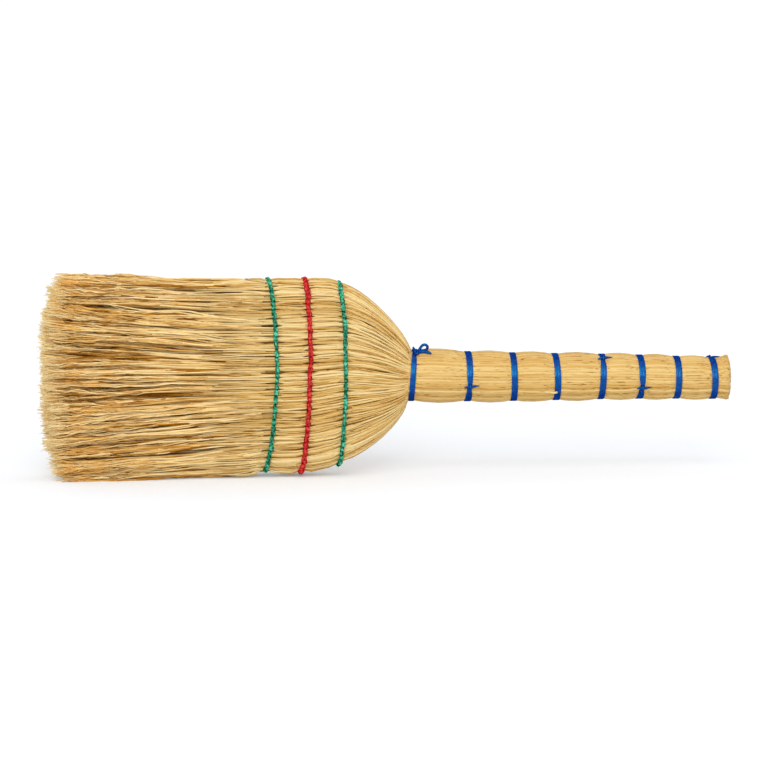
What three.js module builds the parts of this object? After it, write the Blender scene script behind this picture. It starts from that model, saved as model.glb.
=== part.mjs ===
// Sorghum hand broom: straw bound into a round handle and fanned into a flat sewn head, with free
// bristles beyond the last row of stitches. It stands on the long lower edge of the head.
// Millimetres, +Z up. The handle points along +X, the bristles along -X, and Y is the thickness.

import * as THREE from 'three';

// Handle, measured from the neck, where the straw begins to fan out
const NECK_RADIUS = 21.6;
const BUTT_RADIUS = 16.8;
const BUTT_FLARE = 2.4;
const BULGE = 1.8;
const NECK_TIE_X = 3.2;
const TIE_BAYS = [49.6, 39.4, 36.8, 39.4, 34.2, 31.6, 31.2];
const BUTT_OVERHANG = 13.9;
const HANDLE_DROOP = 6.5;

// Sewn head, from the neck to where the free bristles start
const HEAD_LENGTH = 131;
const HEAD_WIDTH = 171;
const NECK_HEIGHT = 86.5;
const UPPER_RUN = 78;
const UPPER_FULLNESS = 0.75;
const LOWER_RUN = 110;
const LOWER_FULLNESS = 0.6;
const HALF_THICKNESS = 22.5;
const HEAD_SQUARENESS = 4;
const SQUARENESS_RUN = 100;
const FOOT_DEPTH = 1;
const SWELL_LENGTH = 16;

// Straw bundles that cover the handle and both faces of the head, and the bundles along its edges
const BUNDLES_PER_FACE = 10;
const BUNDLE_DEPTH = 5;
const BUNDLE_RIDGE = 0.7;
const SHOULDER_ARC = 20;
const SHOULDER_RUN = 60;
const FAN_SHARES = [0.14, 0.34, 0.58, 0.8];

// Free bristles
const BRISTLE_LENGTH = 190;
const TIP_WIDTH = 176;
const TIP_HALF_THICKNESS = 29;
const TIP_ARCH = 15;
const TIP_RAGGED = 7;
const STRAND_ROWS = 37;
const MOST_COLUMNS = 9;
const TIP_GAP = 1.8;
const BACKING = 6;

// Twine of the ties, sewing thread and bow
const TWINE = 2.7;
const TWINE_SPACE = 0.6;
const TIE_TURNS = 1.75;
const TIE_CLIMB = 0.25;
const STEPS_PER_TURN = 20;
const TWINE_SIDES = 5;
const THREAD = 2.8;
const THREAD_SIDES = 4;
const THREAD_END_GAP = 4;
const STITCHES_PER_FACE = 26;
const STITCHES_PER_EDGE = 8;
const STITCH_SLANT = 0.7;
const OUTER_ROW_MARGIN = 8.5;
const ROW_SPACING = 31.6;
const INNER_ROW_BOW = 4.4;
const RED_ROW_BOW = 5;
const OUTER_ROW_BOW = 7.8;
const BOW_CORD = 2.4;
const BOW_SIDES = 6;
const BOW_STEPS = 24;
const CLEARANCE = 0.3;

const GREEN = 0x0f8a66;
const RED = 0xb81c2c;
const BLUE = 0x0a4ca8;

// A row of stitches lies at x at the two edges of the head, and its middle is drawn towards the
// handle by bow
const outerRowX = OUTER_ROW_MARGIN - HEAD_LENGTH;
const redRowX = outerRowX + ROW_SPACING;
const innerRowX = redRowX + ROW_SPACING;
const STITCH_ROWS = [
  { name: 'inner_green_stitching', x: innerRowX, bow: INNER_ROW_BOW, colour: GREEN },
  { name: 'red_stitching', x: redRowX, bow: RED_ROW_BOW, colour: RED },
  { name: 'outer_green_stitching', x: outerRowX, bow: OUTER_ROW_BOW, colour: GREEN },
];
const TIE_NAMES = [
  'neck_tie', 'second_tie', 'third_tie', 'fourth_tie', 'fifth_tie', 'sixth_tie', 'seventh_tie', 'end_tie',
];
const BRISTLE_NAMES = [
  'lower_bristles', 'lower_middle_bristles', 'upper_middle_bristles', 'upper_bristles',
];

// Route of the bow's loop and tail: distance from the neck, way round from the top towards the front
// in degrees, and height of the cord's middle above its seat on the handle
const BOW_ROUTE = [
  [20.5, 38, 0], [14, 33, 0], [8.8, 28, 0.2], [9.2, 20, 0.6],
  [13.5, 18, 0.8], [17.3, 16, 2], [14.5, 12, 4], [9.2, 15, 4],
];

const straw = new THREE.MeshStandardMaterial({ color: 0xe0b873, roughness: 0.65, metalness: 0 });
const bristleStraw = new THREE.MeshStandardMaterial({ color: 0xc99a58, roughness: 0.7, metalness: 0 });
const blueTwine = new THREE.MeshStandardMaterial({ color: BLUE, roughness: 0.25, metalness: 0 });

const broom = new THREE.Group();

function addPiece(name, geometry, material) {
  const mesh = new THREE.Mesh(geometry, material);
  mesh.name = name;
  broom.add(mesh);
}

function meshGeometry(positions, triangles) {
  const geometry = new THREE.BufferGeometry();
  geometry.setAttribute('position', new THREE.Float32BufferAttribute(positions, 3));
  geometry.setIndex(triangles);
  geometry.computeVertexNormals();
  return geometry;
}

// A closed solid through convex rings of points, with its faces turned out whichever way they run
function loft(rings) {
  const size = rings[0].length;
  const last = (rings.length - 1) * size;
  const points = rings.flat();
  const triangles = [];
  for (let ring = 0; ring < last; ring += size) {
    for (let side = 0; side < size; side += 1) {
      const a = ring + side;
      const b = ring + (side + 1) % size;
      const c = a + size;
      const d = b + size;
      const shorter = points[b].distanceTo(points[c]) < points[a].distanceTo(points[d]);
      triangles.push(...(shorter ? [[a, b, c], [b, d, c]] : [[a, b, d], [a, d, c]]));
    }
  }
  for (let side = 1; side + 1 < size; side += 1) {
    triangles.push([0, side + 1, side], [last, last + side, last + side + 1]);
  }
  const volume = triangles.reduce((sum, [a, b, c]) => (
    sum + points[a].dot(new THREE.Vector3().crossVectors(points[b], points[c]))), 0);
  const turned = triangles.map(([a, b, c]) => (volume > 0 ? [a, b, c] : [a, c, b]));
  return meshGeometry(points.flatMap((point) => point.toArray()), turned.flat());
}

// A tube of flat sides along points, where outward gives the side that faces away from the broom
function tube(points, outward, diameter, sides) {
  const radius = diameter / 2;
  const rings = points.map((point, index) => {
    const before = points[Math.max(index - 1, 0)];
    const after = points[Math.min(index + 1, points.length - 1)];
    const along = new THREE.Vector3().subVectors(after, before).normalize();
    const across = new THREE.Vector3().crossVectors(along, outward[index]).normalize();
    const up = new THREE.Vector3().crossVectors(across, along);
    return Array.from({ length: sides }, (_, side) => {
      const angle = 2 * Math.PI * (side + 0.5) / sides;
      return point.clone()
        .addScaledVector(up, -radius * Math.cos(angle))
        .addScaledVector(across, radius * Math.sin(angle));
    });
  });
  return loft(rings);
}

// Stations along the broom: each is one cross-section, a rounded slab from low to high
const tieX = TIE_BAYS.reduce((places, bay) => [...places, places[places.length - 1] + bay], [NECK_TIE_X]);
const HANDLE_LENGTH = tieX[tieX.length - 1] + BUTT_OVERHANG;
const TIE_WIDTH = 2 * TWINE + TWINE_SPACE;

function waistRadius(x) {
  return THREE.MathUtils.lerp(NECK_RADIUS, BUTT_RADIUS, x / HANDLE_LENGTH);
}

function handleAxis(x) {
  return NECK_HEIGHT - HANDLE_DROOP * x / HANDLE_LENGTH;
}

function handleStation(x, swelling) {
  const half = waistRadius(x) + swelling;
  const axis = handleAxis(x);
  return { x, bow: 0, low: axis - half, high: axis + half, half, power: 2, edge: 0 };
}

function headStation(x, bow, drawn) {
  const fan = (run) => Math.sin(Math.PI / 2 * Math.min(-x / run, 1));
  const upper = NECK_RADIUS + (HEAD_WIDTH - NECK_HEIGHT - NECK_RADIUS) * fan(UPPER_RUN) ** UPPER_FULLNESS;
  const lower = NECK_RADIUS + (NECK_HEIGHT + FOOT_DEPTH - NECK_RADIUS) * fan(LOWER_RUN) ** LOWER_FULLNESS;
  return {
    x,
    bow,
    low: NECK_HEIGHT - lower + drawn,
    high: NECK_HEIGHT + upper - drawn,
    half: THREE.MathUtils.lerp(NECK_RADIUS, HALF_THICKNESS, -x / HEAD_LENGTH) - drawn,
    power: 2 + (HEAD_SQUARENESS - 2) * fan(SQUARENESS_RUN),
    edge: SHOULDER_ARC * fan(SHOULDER_RUN),
  };
}

const GROOVE = FOOT_DEPTH + THREAD + 3 * CLEARANCE;
const GROOVE_HALF_WIDTH = THREAD / 2 + STITCH_SLANT + 2 * CLEARANCE;

const handleStations = [handleStation(NECK_TIE_X + TIE_WIDTH / 2 + CLEARANCE, 0)];
tieX.slice(1).forEach((x, index) => {
  handleStations.push(handleStation(x - TIE_BAYS[index] / 2, BULGE), handleStation(x, 0));
});
handleStations.push(handleStation(HANDLE_LENGTH, BUTT_FLARE));

const neckStation = handleStation(0, 0);
const headStations = FAN_SHARES.map((share) => headStation(share * innerRowX, 0, 0));
STITCH_ROWS.forEach((row, index) => {
  headStations.push(headStation(row.x + GROOVE_HALF_WIDTH, row.bow, GROOVE));
  headStations.push(headStation(row.x - GROOVE_HALF_WIDTH, row.bow, GROOVE));
  const next = STITCH_ROWS[index + 1];
  if (next) {
    const middle = (row.x + next.x) / 2;
    const bow = (row.bow + next.bow) / 2;
    headStations.push(headStation(middle + SWELL_LENGTH / 2, bow, 0));
    headStations.push(headStation(middle - SWELL_LENGTH / 2, bow, 0));
  }
});
headStations.push(headStation(-HEAD_LENGTH, 0, GROOVE / 2));

// The front half of a section from its foot round to its top, with the length run so far.
// The lower edge is flattened at z = 0, where the broom stands.
const OUTLINE_SAMPLES = 120;
function outline(station) {
  if (!station.outline) {
    const middle = (station.low + station.high) / 2;
    const height = (station.high - station.low) / 2;
    const bent = (share) => Math.sign(share) * Math.abs(share) ** (2 / station.power);
    const samples = [];
    for (let index = 0; index <= OUTLINE_SAMPLES; index += 1) {
      const angle = Math.PI * (index / OUTLINE_SAMPLES - 0.5);
      const y = -station.half * bent(Math.max(Math.cos(angle), 0));
      const z = Math.max(middle + height * bent(Math.sin(angle)), 0);
      const before = samples[index - 1];
      const run = before ? before.run + Math.hypot(y - before.y, z - before.z) : 0;
      samples.push({ y, z, run });
    }
    station.outline = samples;
  }
  return station.outline;
}

function outlineLength(station) {
  return outline(station)[OUTLINE_SAMPLES].run;
}

// The point at a length along a section's outline, on the front or the back, moved in by depth
function onSection(station, length, side, depth) {
  const samples = outline(station);
  const run = THREE.MathUtils.clamp(length, 0, outlineLength(station));
  const next = Math.max(samples.findIndex((sample) => sample.run >= run), 1);
  const { y: y0, z: z0, run: run0 } = samples[next - 1];
  const { y: y1, z: z1, run: run1 } = samples[next];
  const share = (run - run0) / (run1 - run0);
  const y = THREE.MathUtils.lerp(y0, y1, share);
  const z = THREE.MathUtils.lerp(z0, z1, share);
  const middle = (station.low + station.high) / 2;
  const height = (station.high - station.low) / 2;
  const steep = (part) => Math.sign(part) * Math.abs(part) ** (station.power - 1);
  const across = steep(y / station.half) / station.half;
  const upward = steep((z - middle) / height) / height;
  const size = Math.hypot(across, upward);
  const inY = y - depth * across / size;
  const inZ = z - depth * upward / size;
  const arch = 1 - ((inZ - middle) / height) ** 2;
  return new THREE.Vector3(station.x + station.bow * arch, -side * inY, inZ);
}

// Covering bundles: each runs from the butt of the handle through the neck to the edge of the bristles
const FRONT = -1;
const BACK = 1;

function bundleRing(station, side, index) {
  const width = (outlineLength(station) - 2 * station.edge) / BUNDLES_PER_FACE;
  const start = station.edge + index * width + CLEARANCE / 2;
  const end = station.edge + (index + 1) * width - CLEARANCE / 2;
  return [
    onSection(station, start, side, BUNDLE_RIDGE),
    onSection(station, (start + end) / 2, side, 0),
    onSection(station, end, side, BUNDLE_RIDGE),
    onSection(station, end, side, BUNDLE_DEPTH),
    onSection(station, start, side, BUNDLE_DEPTH),
  ];
}

const coverStations = [...handleStations.toReversed(), neckStation, ...headStations];
for (const [face, side] of [['front', FRONT], ['back', BACK]]) {
  for (let index = 0; index < BUNDLES_PER_FACE; index += 1) {
    const rings = coverStations.map((station) => bundleRing(station, side, index));
    addPiece(`${face}_straw_bundle_${String(index + 1).padStart(2, '0')}`, loft(rings), straw);
  }
}

// Inner stalks: one core fills the handle and one fills the head, and they meet at the neck
const CORE_SIDES_PER_FACE = BUNDLES_PER_FACE / 2;
function coreRing(station, shift) {
  const start = station.edge + CLEARANCE / 2;
  const span = outlineLength(station) - 2 * start;
  const face = (side) => Array.from({ length: CORE_SIDES_PER_FACE + 1 }, (_, index) => (
    onSection(station, start + span * index / CORE_SIDES_PER_FACE, side, BUNDLE_DEPTH + 2 * CLEARANCE)));
  const ring = [...face(FRONT), ...face(BACK).reverse()];
  ring.forEach((point) => {
    point.x += shift;
  });
  return ring;
}

addPiece('handle_core_stalks', loft([
  coreRing(neckStation, CLEARANCE / 2),
  ...handleStations.map((station) => coreRing(station, 0)),
]), straw);
addPiece('head_core_straw', loft([
  coreRing(neckStation, -CLEARANCE / 2),
  ...headStations.map((station) => coreRing(station, 0)),
]), straw);

// Shoulder bundles along the lower and the upper edge of the head; the lower one is the foot
const SHOULDER_SHARES = [1, 0.75, 0.5, 0.25];
function shoulderRing(station, top) {
  const face = (side) => SHOULDER_SHARES.map((share) => {
    const run = share * (station.edge - CLEARANCE / 2);
    return onSection(station, top ? outlineLength(station) - run : run, side, 0);
  });
  return [...face(FRONT), ...face(BACK).reverse()];
}

addPiece('lower_shoulder_straw', loft(headStations.map((station) => shoulderRing(station, false))), straw);
addPiece('upper_shoulder_straw', loft(headStations.map((station) => shoulderRing(station, true))), straw);

// Free bristles: four-sided strands in rows and columns. Each grows from its own cell of a slice of the
// straw, where it meets its neighbours, and they part and spread from there to a ragged, arched edge.
const bristleSection = headStation(-HEAD_LENGTH, 0, 0);
const backX = -HEAD_LENGTH - CLEARANCE;
const rootX = backX - BACKING;
const tipEdgeX = -HEAD_LENGTH - BRISTLE_LENGTH;
const rowPitch = HEAD_WIDTH / STRAND_ROWS;
const tipRowPitch = TIP_WIDTH / STRAND_ROWS;
const columnPitch = 2 * HALF_THICKNESS / MOST_COLUMNS;
const tipColumnPitch = 2 * TIP_HALF_THICKNESS / MOST_COLUMNS;

// A row holds an odd number of strands, as many as the rounded section has room for
function sideColumns(row) {
  const height = (bristleSection.high - bristleSection.low) / 2;
  const share = Math.abs(((row + 0.5) * rowPitch - bristleSection.low) / height - 1);
  const room = HALF_THICKNESS * (1 - share ** HEAD_SQUARENESS) ** (1 / HEAD_SQUARENESS);
  return Math.floor(room / columnPitch - 0.5 + CLEARANCE);
}

// Uneven but repeatable: how much of the ragged edge a strand is short by, from 0 to 1
function shortness(row, column) {
  const wave = Math.sin(row * 12.9898 + Math.abs(column) * 78.233) * 43758.5453;
  return wave - Math.floor(wave);
}

function tipCorner(row, column, across, up) {
  const y = column * tipColumnPitch + across * (tipColumnPitch - TIP_GAP) / 2;
  const foot = row === 0 ? 0 : TIP_GAP / 2;
  const z = (row + (up + 1) / 2) * tipRowPitch - (up > 0 ? TIP_GAP / 2 : -foot);
  const arch = TIP_ARCH * (2 * (row + 0.5) / STRAND_ROWS - 1) ** 2;
  return [tipEdgeX + arch + TIP_RAGGED * shortness(row, column), y, z];
}

let strandCount = 0;
function bristleBlock(firstRow, nextRow) {
  const positions = [];
  const triangles = [];
  const places = new Map();
  const corner = (key, point) => {
    if (!places.has(key)) {
      places.set(key, positions.length / 3);
      positions.push(...point);
    }
    return places.get(key);
  };
  const quad = (a, b, c, d) => triangles.push(a, b, c, a, c, d);
  const edgeHeight = (edge) => {
    const inset = (edge === firstRow && edge > 0) - (edge === nextRow && edge < STRAND_ROWS);
    return edge * rowPitch + inset * CLEARANCE / 2;
  };
  const inBlock = (row, column) => (
    row >= firstRow && row < nextRow && Math.abs(column) <= sideColumns(row));
  const onSlice = (x, row, column, across, up) => {
    const edge = row + (up + 1) / 2;
    const y = (column + across / 2) * columnPitch;
    return corner(`${x} ${edge} ${column + across / 2}`, [x, y, edgeHeight(edge)]);
  };
  for (let row = firstRow; row < nextRow; row += 1) {
    for (let column = -sideColumns(row); column <= sideColumns(row); column += 1) {
      const ring = (place) => [[-1, -1], [1, -1], [1, 1], [-1, 1]].map(([across, up]) => place(across, up));
      const back = ring((across, up) => onSlice(backX, row, column, across, up));
      const root = ring((across, up) => onSlice(rootX, row, column, across, up));
      const tip = ring((across, up) => (
        corner(`tip ${row} ${column} ${across} ${up}`, tipCorner(row, column, across, up))));
      const neighbours = [[row - 1, column], [row, column + 1], [row + 1, column], [row, column - 1]];
      neighbours.forEach((neighbour, side) => {
        const next = (side + 1) % neighbours.length;
        quad(root[side], tip[side], tip[next], root[next]);
        if (!inBlock(...neighbour)) {
          quad(back[side], root[side], root[next], back[next]);
        }
      });
      quad(tip[3], tip[2], tip[1], tip[0]);
      quad(back[0], back[1], back[2], back[3]);
      strandCount += 1;
    }
  }
  return meshGeometry(positions, triangles);
}

BRISTLE_NAMES.forEach((name, block) => {
  const firstRow = Math.round(STRAND_ROWS * block / BRISTLE_NAMES.length);
  const nextRow = Math.round(STRAND_ROWS * (block + 1) / BRISTLE_NAMES.length);
  addPiece(name, bristleBlock(firstRow, nextRow), bristleStraw);
});
console.log(`bristles: ${strandCount} strands`);

// Least gap between parts of a wound tube that lie more than half a turn apart along it
function leastGap(points, diameter, apart) {
  let least = Infinity;
  for (let first = 0; first < points.length; first += 1) {
    for (let second = first + apart; second < points.length; second += 1) {
      least = Math.min(least, points[first].distanceTo(points[second]) - diameter);
    }
  }
  return least;
}

// Ties: two turns of twine side by side round the handle. The first climbs over beside itself in the
// last part of its turn, the second stops short of that climb, and both ends run straight off.
function addTie(name, x, slope, startAngle) {
  const seat = waistRadius(x) + slope * TIE_WIDTH / 2 + CLEARANCE + TWINE / 2;
  const radius = seat / Math.cos(Math.PI / STEPS_PER_TURN);
  const steps = TIE_TURNS * STEPS_PER_TURN;
  const pitch = TWINE + TWINE_SPACE;
  const points = [];
  const outward = [];
  for (let step = 0; step <= steps; step += 1) {
    const turns = step / STEPS_PER_TURN;
    const angle = startAngle + 2 * Math.PI * turns;
    const away = new THREE.Vector3(0, -Math.sin(angle), Math.cos(angle));
    const climb = THREE.MathUtils.smoothstep(turns, 1 - TIE_CLIMB, 1);
    const middle = new THREE.Vector3(x + pitch * (climb - 0.5), 0, handleAxis(x));
    points.push(middle.addScaledVector(away, radius));
    outward.push(away);
  }
  const runOff = (end, before) => end.clone().add(end.clone().sub(before).setLength(TWINE));
  points.unshift(runOff(points[0], points[1]));
  outward.unshift(outward[0]);
  points.push(runOff(points[steps + 1], points[steps]));
  outward.push(outward[steps + 1]);
  console.log(`${name}: least gap to itself ${leastGap(points, TWINE, STEPS_PER_TURN / 2).toFixed(2)} mm`);
  addPiece(name, tube(points, outward, TWINE, TWINE_SIDES), blueTwine);
}

// Where each tie is knotted, in turns from the top of the handle towards the front
const KNOT_TURNS = [0.07, 0.295, 0.6, 0.62, 0.06, 0.31, 0.55, 0];
TIE_NAMES.forEach((name, index) => {
  const bay = TIE_BAYS[Math.max(index - 1, 0)];
  const shortest = Math.min(bay, TIE_BAYS[Math.min(index, TIE_BAYS.length - 1)]);
  const slope = index === 0 ? 0 : BULGE / (shortest / 2);
  addTie(name, tieX[index], slope, 2 * Math.PI * KNOT_TURNS[index]);
});

// Bow of the neck tie: one loop and a tail that lie on the handle just past the tie
const bowPoints = BOW_ROUTE.map(([x, degrees, rise]) => {
  const angle = THREE.MathUtils.degToRad(degrees);
  const swelling = BULGE * THREE.MathUtils.clamp((x - NECK_TIE_X) / (TIE_BAYS[0] / 2), 0, 1);
  const radius = waistRadius(x) + swelling + CLEARANCE + BOW_CORD / 2 + rise;
  return new THREE.Vector3(x, -radius * Math.sin(angle), handleAxis(x) + radius * Math.cos(angle));
});
const bowCurve = new THREE.CatmullRomCurve3(bowPoints);
const bowOutline = new THREE.Shape(Array.from({ length: BOW_SIDES }, (_, side) => {
  const angle = 2 * Math.PI * side / BOW_SIDES;
  return new THREE.Vector2(Math.cos(angle), Math.sin(angle)).multiplyScalar(BOW_CORD / 2);
}));
const bowGap = leastGap(bowCurve.getSpacedPoints(BOW_STEPS), BOW_CORD, BOW_STEPS / 4);
console.log(`neck_bow: least gap to itself ${bowGap.toFixed(2)} mm`);
const bowGeometry = new THREE.ExtrudeGeometry(bowOutline, { steps: BOW_STEPS, extrudePath: bowCurve });
addPiece('neck_bow', bowGeometry, blueTwine);

// Stitching: one thread round the head in each row, slanting to and fro from stitch to stitch,
// with its two ends left apart on the upper edge
function addStitching(row) {
  const station = headStation(row.x, row.bow, GROOVE);
  const lift = 2 * CLEARANCE + THREAD / 2;
  const length = outlineLength(station);
  const stitches = STITCHES_PER_FACE + STITCHES_PER_EDGE;
  const points = [];
  const outward = [];
  for (let step = 0; step <= 2 * stitches; step += 1) {
    const side = step < stitches ? FRONT : BACK;
    const along = Math.abs(step - stitches) / stitches;
    const run = along * (length - THREAD_END_GAP / 2);
    const seat = onSection(station, run, side, 0);
    const lifted = onSection(station, run, side, -lift);
    lifted.x += step % 2 ? STITCH_SLANT : -STITCH_SLANT;
    points.push(lifted);
    outward.push(lifted.clone().sub(seat).setX(0).normalize());
  }
  console.log(`${row.name}: least gap to itself ${leastGap(points, THREAD, stitches).toFixed(2)} mm`);
  const thread = new THREE.MeshStandardMaterial({ color: row.colour, roughness: 0.55, metalness: 0 });
  addPiece(row.name, tube(points, outward, THREAD, THREAD_SIDES), thread);
}

STITCH_ROWS.forEach(addStitching);

// The origin is under the middle of the broom, on the surface that it stands on
const bounds = new THREE.Box3().setFromObject(broom);
broom.position.x = -(bounds.min.x + bounds.max.x) / 2;
const part = new THREE.Group();
part.add(broom);

export default part;
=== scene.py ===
import math

import bmesh
import bpy
import numpy as np
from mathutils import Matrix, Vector


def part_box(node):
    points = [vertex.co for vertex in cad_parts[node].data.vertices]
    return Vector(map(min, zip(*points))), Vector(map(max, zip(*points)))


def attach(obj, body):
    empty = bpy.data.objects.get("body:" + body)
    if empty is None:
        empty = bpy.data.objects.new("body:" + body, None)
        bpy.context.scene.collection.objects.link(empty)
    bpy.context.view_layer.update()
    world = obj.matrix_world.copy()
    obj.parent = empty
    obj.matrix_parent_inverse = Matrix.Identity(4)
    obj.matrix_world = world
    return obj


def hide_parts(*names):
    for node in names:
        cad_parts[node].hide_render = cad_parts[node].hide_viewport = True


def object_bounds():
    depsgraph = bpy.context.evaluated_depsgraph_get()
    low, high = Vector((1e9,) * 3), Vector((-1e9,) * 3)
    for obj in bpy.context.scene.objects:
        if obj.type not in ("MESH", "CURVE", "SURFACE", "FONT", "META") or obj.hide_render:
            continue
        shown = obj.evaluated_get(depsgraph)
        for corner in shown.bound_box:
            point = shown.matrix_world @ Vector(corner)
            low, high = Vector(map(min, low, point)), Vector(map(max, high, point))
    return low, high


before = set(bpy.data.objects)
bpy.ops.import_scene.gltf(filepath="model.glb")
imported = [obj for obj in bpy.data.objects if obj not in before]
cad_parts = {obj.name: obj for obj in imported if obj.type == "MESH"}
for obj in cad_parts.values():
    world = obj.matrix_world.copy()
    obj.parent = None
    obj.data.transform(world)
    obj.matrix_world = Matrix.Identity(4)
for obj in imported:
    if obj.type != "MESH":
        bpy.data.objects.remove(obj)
cad_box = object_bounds()


# Studio
# The broom stands on white paper in soft light: a broad lamp high in front, a narrower one lower
# down and an even sky. Paper and sky look white, and the paper keeps the shadow.
CAMERA_AZIMUTH = math.radians(-5)
CAMERA_ELEVATION = math.radians(8.5)
CAMERA_DISTANCE = 7.0
VIEW_WIDTH = 0.6645
VIEW_CENTRE = Vector((0.0005, 0.0, 0.0788))
PAPER_SIZE = 60.0
PAPER_COLOUR = (0.82, 0.847, 0.885, 1.0)
PAPER_GLOW = 0.2
SKY_STRENGTH = 0.75
HIGH_LAMP = {"azimuth": -12, "elevation": 47, "spread": 40, "strength": 0.7}
FRONT_LAMP = {"azimuth": -7, "elevation": 22, "spread": 26, "strength": 0.87}


def direction(azimuth, elevation):
    """Unit vector from the broom towards a lamp or the camera."""
    flat = math.cos(elevation)
    return Vector((math.sin(azimuth) * flat, -math.cos(azimuth) * flat, math.sin(elevation)))


def add_lamp(name, azimuth, elevation, spread, strength):
    """A distant lamp, whose spread in degrees sets how soft its shadows are."""
    lamp = bpy.data.lights.new(name, "SUN")
    lamp.angle = math.radians(spread)
    lamp.energy = strength
    holder = bpy.data.objects.new(name, lamp)
    towards = direction(math.radians(azimuth), math.radians(elevation))
    holder.rotation_euler = towards.to_track_quat("Z", "Y").to_euler()
    bpy.context.collection.objects.link(holder)


def seen_rays(tree):
    """Socket that is 1 on the rays that show a background: straight, mirrored or through glass."""
    path = tree.nodes.new("ShaderNodeLightPath")
    seen = path.outputs["Is Camera Ray"]
    for kind in ("Is Glossy Ray", "Is Transmission Ray"):
        either = tree.nodes.new("ShaderNodeMath")
        either.operation = "MAXIMUM"
        tree.links.new(seen, either.inputs[0])
        tree.links.new(path.outputs[kind], either.inputs[1])
        seen = either.outputs["Value"]
    return seen


camera_data = bpy.data.cameras.new("camera")
camera_data.lens = camera_data.sensor_width * CAMERA_DISTANCE / VIEW_WIDTH
camera = bpy.data.objects.new("camera", camera_data)
camera_side = direction(CAMERA_AZIMUTH, CAMERA_ELEVATION)
camera.location = VIEW_CENTRE + camera_side * CAMERA_DISTANCE
camera.rotation_euler = camera_side.to_track_quat("Z", "Y").to_euler()
bpy.context.collection.objects.link(camera)
bpy.context.scene.camera = camera
bpy.context.scene.view_settings.view_transform = "Standard"

add_lamp("high_lamp", **HIGH_LAMP)
add_lamp("front_lamp", **FRONT_LAMP)

world = bpy.data.worlds.new("sky")
bpy.context.scene.world = world
world.use_nodes = True
sky_tree = world.node_tree
sky = sky_tree.nodes["Background"]
sky.inputs["Color"].default_value = (1.0, 1.0, 1.0, 1.0)
sky.inputs["Strength"].default_value = SKY_STRENGTH
white = sky_tree.nodes.new("ShaderNodeBackground")
white.inputs["Color"].default_value = (1.0, 1.0, 1.0, 1.0)
sky_choice = sky_tree.nodes.new("ShaderNodeMixShader")
sky_tree.links.new(seen_rays(sky_tree), sky_choice.inputs["Fac"])
sky_tree.links.new(sky.outputs["Background"], sky_choice.inputs[1])
sky_tree.links.new(white.outputs["Background"], sky_choice.inputs[2])
sky_tree.links.new(sky_choice.outputs["Shader"], sky_tree.nodes["World Output"].inputs["Surface"])

paper_shape = bmesh.new()
bmesh.ops.create_grid(paper_shape, x_segments=1, y_segments=1, size=PAPER_SIZE / 2)
paper_mesh = bpy.data.meshes.new("paper")
paper_shape.to_mesh(paper_mesh)
paper_shape.free()
paper_finish = bpy.data.materials.new("white_paper")
paper_finish.use_nodes = True
paper_tree = paper_finish.node_tree
paper_tree.nodes.remove(paper_tree.nodes["Principled BSDF"])
matte = paper_tree.nodes.new("ShaderNodeBsdfDiffuse")
matte.inputs["Color"].default_value = PAPER_COLOUR
lifted = paper_tree.nodes.new("ShaderNodeMath")
lifted.operation = "MULTIPLY"
lifted.inputs[1].default_value = PAPER_GLOW
paper_tree.links.new(seen_rays(paper_tree), lifted.inputs[0])
glow = paper_tree.nodes.new("ShaderNodeEmission")
paper_tree.links.new(lifted.outputs["Value"], glow.inputs["Strength"])
paper_sum = paper_tree.nodes.new("ShaderNodeAddShader")
paper_tree.links.new(matte.outputs["BSDF"], paper_sum.inputs[0])
paper_tree.links.new(glow.outputs["Emission"], paper_sum.inputs[1])
paper_tree.links.new(paper_sum.outputs["Shader"], paper_tree.nodes["Material Output"].inputs["Surface"])
paper_mesh.materials.append(paper_finish)
paper = bpy.data.objects.new("paper", paper_mesh)
bpy.context.collection.objects.link(paper)


# Handle core
# The middle of the handle is whole sorghum stalks, packed side by side and held by the ties. Only
# their cut ends show, at the butt, where each has a rind round a soft pith.
TIE_NAMES = [
    "neck_tie", "second_tie", "third_tie", "fourth_tie",
    "fifth_tie", "sixth_tie", "seventh_tie", "end_tie",
]
NECK_RADIUS = 0.0216
BUTT_RADIUS = 0.0168
BUTT_FLARE = 0.003
BUTT_LIFT = 0.001
BUTT_REACH = 0.0022
BUTT_DOME = 0.002
PILLOW = 0.0022
PILLOW_POWER = 0.7
HANDLE_SWAY = 0.0006
TIE_SHIFTS = [0.0, -0.001, -0.0007, -0.0006, 0.0, -0.0012, -0.0005, -0.0003]
NECK_TO_TIE = 0.0032
HEAD_HALF_THICKNESS = 0.0225
TIP_HALF_THICKNESS = 0.0285
UPPER_RUN = 0.078
UPPER_FULLNESS = 0.75
LOWER_RUN = 0.11
LOWER_FULLNESS = 0.6
SQUARE_RUN = 0.1
ROUND = 2.0
SQUARENESS = 2.0
FOOT_DEPTH = 0.001
HEAD_LIFT = 0.0012
CORE_RADIUS = 0.0145
CORE_STALK = 0.0031
CORE_OVERLAP = 0.01
CORE_STEPS = 6
CORE_RAGGED = 0.001
CORE_GIRTHS = (0.45, 0.56)
CORE_TONES = (0.2, 0.8)
WELD_DISTANCE = 1e-6
STRAW_TONES = ("8a560e", "cfa254", "e2c17e", "eed69c")
PITH_TONES = ("d8b67c", "ecd3a0", "f3e0b8")
STREAK_GRAIN = (28, 500, 3)
RIB_GRAIN = (60, 2600, 2)
BLOTCH_GRAIN = (22, 60, 2)
BLOTCH_SHARE = 0.6
DASH_GRAIN = (20, 1400, 2)
DASH_RANGE = (0.6, 0.67)
ROUGHNESS_SPREAD = 0.2
RIB_BUMP = 0.35
RIB_HEIGHT = 0.0002
CUT_RIM = 0.00035
CUT_HOLLOW = 0.0003

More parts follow.
